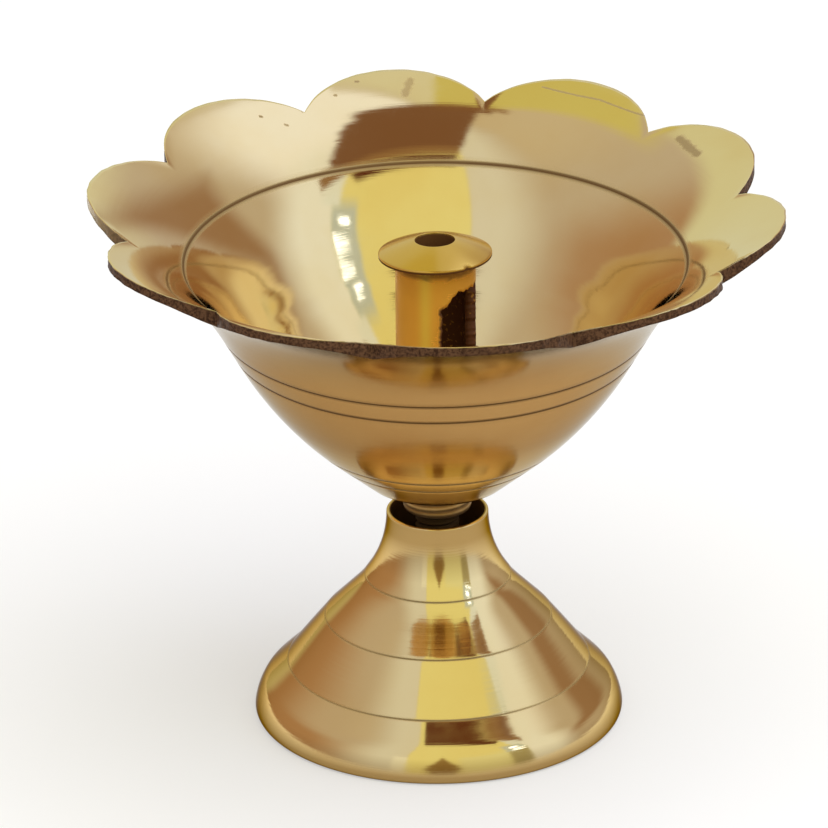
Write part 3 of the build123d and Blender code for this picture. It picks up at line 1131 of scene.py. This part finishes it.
studioFront = {
    "rightNear": ((59, 88, 1, 12), (-30, 64, 5, 10), (0.88, 0.98, 1.22)),
    "opening": ((-21, 59.6, 1, 0.6), (-30, 100, 5, 5), (0.84, 0.84, 0.47)),
    "openingLow": ((13, 46, 3, 1.5), (-30, 30, 5, 3), (0.80, 0.84, 0.58)),
    "openingSide": ((46, 59.6, 1.5, 0.6), (-30, 27, 5, 2), (0.42, 0.40, 0.26)),
    "openingSky": ((45, 59.6, 1.5, 0.6), (27, 43, 2, 5), (0.56, 0.68, 0.86)),
    "openingTop": ((55.5, 66, 1.5, 4), (41, 60, 1.5, 4), (0.82, 0.95, 1.20)),
    "lampLow": ((49.8, 59.0, 0.5, 0.4), (27.7, 29.0, 0.2, 0.2), (3.0, 3.6, 5.4)),
    "lampHigh": ((49.3, 55.0, 0.5, 0.5), (33.4, 36.0, 0.3, 0.3), (3.0, 3.6, 5.4)),
}
# a stand in the opening, widest half way up, and the dark bars of the canopy over it: each runs across, at a
# pitch (0 level towards the camera, 90 overhead), between two places to the right, and then has the slant
# and the raggedness of its right end and its tone
studioStand = {"turn": 2, "rise": 9, "halfTurn": 12, "halfRise": 23, "soft": 0.12, "tone": (0.30, 0.20, 0.08)}
studioBars = {
    "beam": ((63.6, 69.0), (-0.115, 0.45), 0.0, 0.06, (0.105, 0.022, 0.011)),
    "eave": ((69.6, 76.5), (-0.118, 0.40), 0.9, 0.10, (0.30, 0.185, 0.105)),
    "roof": ((73.6, 97.4), (-0.128, 0.320), 0.9, 0.13, (0.215, 0.115, 0.073)),
    "fin": ((93.6, 97.4), (-0.165, 0.0), 0.0, 0.0, (0.22, 0.115, 0.065)),
    "finTip": ((95.8, 97.4), (-0.205, 0.0), 0.0, 0.0, (0.26, 0.14, 0.075)),
}
barSoft = {"pitch": 0.5, "right": 0.008, "grain": 0.45}
# a shade low on the right, as of a hill: highest at one turn, and fainter near the floor
studioHill = {
    "turn": 128,
    "slope": 0.62,
    "top": 38,
    "soft": 7,
    "low": (8, 18),
    "least": 0.15,
    "tone": (0.34, 0.225, 0.165),
}


def studioWorld():
    world = bpy.data.worlds.new("studio")
    bpy.context.scene.world = world
    world.use_nodes = True
    tree = world.node_tree
    start = Shade(tree)
    x, y, z = start.node("TexCoord", out="Generated").axes()
    turn = x.math("ARCTAN2", y * -1) * (180 / np.pi)
    rise = z.math("ARCSINE") * (180 / np.pi)

    def hung(panels, tone):
        for turns, rises, panelTone in panels.values():
            tone = (turn.band(*turns) * rise.band(*rises)).mix(tone, panelTone)
        return tone

    tone = hung(studioSides, studioTent)
    slope = rise + (turn - studioHill["turn"]).math("ABSOLUTE") * studioHill["slope"]
    hill = slope.fade(studioHill["top"] + studioHill["soft"], studioHill["top"] - studioHill["soft"])
    hill = hill * (rise.fade(*studioHill["low"]) * (1 - studioHill["least"]) + studioHill["least"])
    tone = hill.mix(tone, studioHill["tone"])
    tone = hung(studioFront, tone)
    away = (turn - studioStand["turn"]).math("ABSOLUTE") / studioStand["halfTurn"]
    away = away + (rise - studioStand["rise"]).math("ABSOLUTE") / studioStand["halfRise"]
    tone = away.fade(1 + studioStand["soft"], 1 - studioStand["soft"]).mix(tone, studioStand["tone"])
    pitch = z.math("ARCTAN2", y * -1) * (180 / np.pi)
    frayed = pitch.noise(barSoft["grain"], 4, 0.6, "1D") - 0.5
    for (first, last), (left, right), slant, ragged, barTone in studioBars.values():
        end = x + y * slant + frayed * ragged
        across = x.fade(left - barSoft["right"], left + barSoft["right"])
        across = across * end.fade(right + barSoft["right"], right - barSoft["right"])
        tone = (across * pitch.band(first, last, barSoft["pitch"], barSoft["pitch"])).mix(tone, barTone)
    tree.links.new(tone.socket, tree.nodes["Background"].inputs["Color"])


lampShape = {"place": (0.3, -0.2, 1.5), "aim": (0, 0, 0.04), "size": 1.8, "power": 19}


def softLamp(name, shape):
    light = bpy.data.lights.new(name, "AREA")
    light.shape = "DISK"
    light.size = shape["size"]
    light.energy = shape["power"]
    lamp = bpy.data.objects.new(name, light)
    lamp.location = shape["place"]
    lamp.rotation_euler = (Vector(shape["aim"]) - Vector(shape["place"])).to_track_quat("-Z", "Y").to_euler()
    lamp.visible_glossy = False
    bpy.context.scene.collection.objects.link(lamp)


cameraShot = {
    "distance": 1.8,
    "sensor": 36,
    "clip": (0.05, 20),
    "elevation": 24.3,
    "roll": 0.5,
    "pixelsPerMetre": 7366.0,
    "framePixels": 828.0,
    "aimHeight": 0.037,
    "aimPixel": (437.0, 460.2),
}


def photoCamera(shot):
    data = bpy.data.cameras.new("photo_camera")
    frameWidth = shot["framePixels"] / shot["pixelsPerMetre"]
    data.sensor_width = shot["sensor"]
    data.lens = data.sensor_width * shot["distance"] / frameWidth
    data.clip_start, data.clip_end = shot["clip"]
    camera = bpy.data.objects.new("photo_camera", data)
    bpy.context.scene.collection.objects.link(camera)
    tilt = np.radians(shot["elevation"])
    back = Vector((0, -np.cos(tilt), np.sin(tilt)))
    look = (-back).to_track_quat("-Z", "Y").to_matrix()
    look = look @ Matrix.Rotation(np.radians(-shot["roll"]), 3, "Z")
    middle = shot["framePixels"] / 2
    across = (middle - shot["aimPixel"][0]) / shot["pixelsPerMetre"]
    upward = (shot["aimPixel"][1] - middle) / shot["pixelsPerMetre"]
    aim = Vector((0, 0, shot["aimHeight"])) + look @ Vector((across, upward, 0))
    camera.matrix_world = Matrix.Translation(aim + back * shot["distance"]) @ look.to_4x4()
    bpy.context.scene.camera = camera


paleFloor(stageLook)
studioWorld()
softLamp("top_lamp", lampShape)
photoCamera(cameraShot)
bpy.context.scene.view_settings.view_transform = "Standard"

print("stage and camera set")
